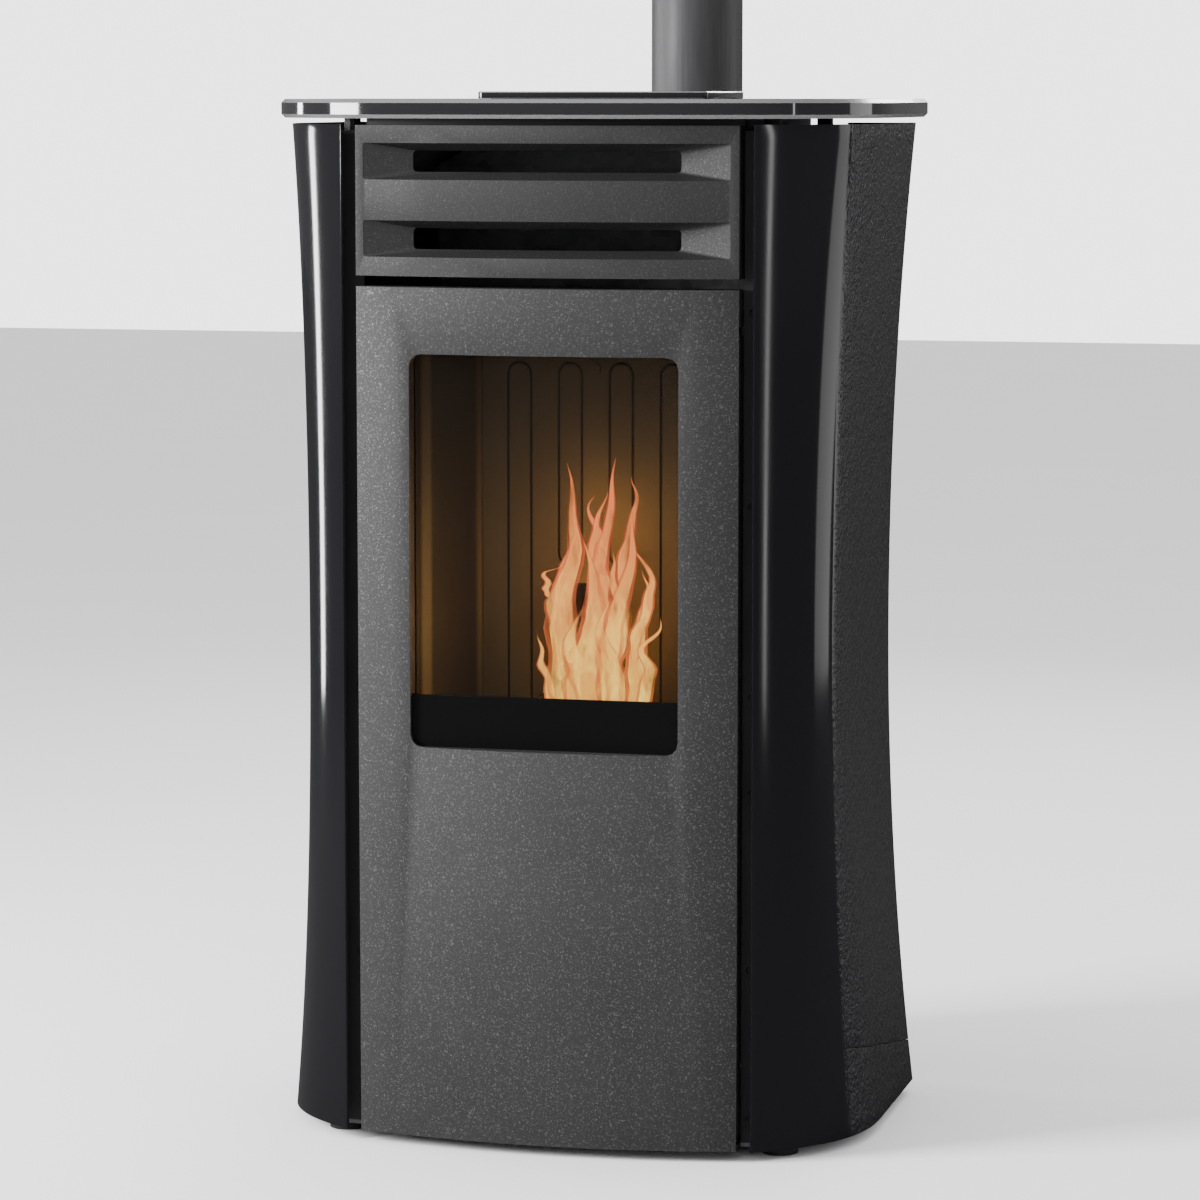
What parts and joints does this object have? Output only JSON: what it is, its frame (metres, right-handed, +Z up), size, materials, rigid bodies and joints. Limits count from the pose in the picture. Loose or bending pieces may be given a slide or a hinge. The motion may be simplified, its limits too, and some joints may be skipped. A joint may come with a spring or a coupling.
{
  "type": "pellet stove",
  "caption": "Freestanding pellet stove with hourglass enamelled side panels, a full-height convex glazed door, an air grille, a top hopper lid and a rear flue pipe.",
  "frame": {"origin": "on the floor, under the middle of the box that holds the stove and its flue pipe", "axes": "+X across the stove to the viewer's right, +Y from the door towards the wall, +Z up"},
  "size_m": [0.664, 0.6542, 1.412],
  "materials": {
    "enamel": "gloss black enamel with a fine orange peel",
    "powder": "charcoal metallic powder coat",
    "casting": "charcoal metallic powder coat over a casting",
    "sheet": "satin black",
    "zinc": "zinc-plated sheet",
    "slab": "gloss black with polished edges",
    "flue": "satin black stove enamel",
    "liner": "heat-tinted casting",
    "iron": "matt black heat paint",
    "glass": "clear ceramic glass with a printed black band",
    "rope": "knitted glass-fibre rope",
    "motor": "satin",
    "steel": "bright steel",
    "plastic": "matt black plastic",
    "board": "circuit board lacquer",
    "red": "gloss red plastic"
  },
  "bodies": {
    "root": {"base_plate": "zinc", "foot_front_left": "plastic", "foot_front_right": "plastic", "foot_rear_left": "plastic", "foot_rear_right": "plastic", "chassis_side_left": "sheet", "chassis_side_right": "sheet", "top_frame": "sheet", "side_panel_left": "enamel", "side_panel_right": "enamel", "side_skirt_left": "enamel", "side_skirt_right": "enamel", "rear_cover": "sheet", "top_slab": "slab", "lid_hinge": "sheet", "upper_grille": "casting", "door_magnet": "plastic", "hinge_bracket_lower": "sheet", "hinge_bracket_upper": "sheet", "firebox_shell": "iron", "hearth_plate": "iron", "firebox_liner_left": "liner", "firebox_liner_right": "liner", "firebox_baffle": "iron", "fireback": "liner", "igniter": "steel", "ash_bay": "sheet", "ash_drawer": "zinc", "hopper": "zinc", "auger_tube": "zinc", "auger_gearmotor": "motor", "pellet_chute": "zinc", "smoke_duct": "sheet", "exhaust_fan_housing": "casting", "exhaust_fan_motor": "motor", "room_fan_housing": "zinc", "room_fan_motor": "motor", "flue_tee": "flue", "tee_cap": "flue", "flue_pipe": "flue", "air_intake_pipe": "zinc", "control_board": "board", "power_inlet": "plastic"},
    "door": {"door_skin": "powder", "door_inner_frame": "iron", "door_glass": "glass", "door_gasket": "rope", "door_rail_lower": "sheet", "door_rail_upper": "sheet", "catch_strike": "zinc"},
    "lid": {"hopper_lid": "slab", "lid_gasket": "rope"},
    "burn_pot": {"burn_pot": "iron"},
    "auger": {"auger_screw": "steel"},
    "exhaust_impeller": {"exhaust_fan_impeller": "steel"},
    "room_impeller": {"room_fan_impeller": "steel"},
    "rocker": {"power_switch": "red"},
    "reset": {"reset_button": "plastic"}
  },
  "joints": [
    {"name": "door_hinge", "type": "hinge", "parent": "root", "child": "door", "pos_m": [0.196, -0.28005, 0.45], "axis": [0, 0, 1], "range_deg": [0, 100]},
    {"name": "hopper_lid_hinge", "type": "hinge", "parent": "root", "child": "lid", "pos_m": [0, 0.09395, 1.1163], "axis": [-1, 0, 0], "range_deg": [0, 80]},
    {"name": "burn_pot_lift", "type": "slide", "parent": "root", "child": "burn_pot", "axis": [0, 0, 1], "range_m": [0, 0.1]},
    {"name": "auger_spin", "type": "hinge", "parent": "root", "child": "auger", "pos_m": [0.112, 0.00995, 0.565], "axis": [-0.7539, 0, 0.657], "continuous": true},
    {"name": "exhaust_fan_spin", "type": "hinge", "parent": "root", "child": "exhaust_impeller", "pos_m": [-0.075, 0.02, 0.162], "axis": [0, 1, 0], "continuous": true},
    {"name": "room_fan_spin", "type": "hinge", "parent": "root", "child": "room_impeller", "pos_m": [0.12, 0.01595, 0.262], "axis": [1, 0, 0], "continuous": true},
    {"name": "power_rocker", "type": "hinge", "parent": "root", "child": "rocker", "pos_m": [0.15, 0.13995, 0.144], "axis": [1, 0, 0], "range_deg": [0, 16]},
    {"name": "reset_press", "type": "slide", "parent": "root", "child": "reset", "axis": [0, -1, 0], "range_m": [0, 0.002], "stiffness_N_per_m": 400}
  ]
}
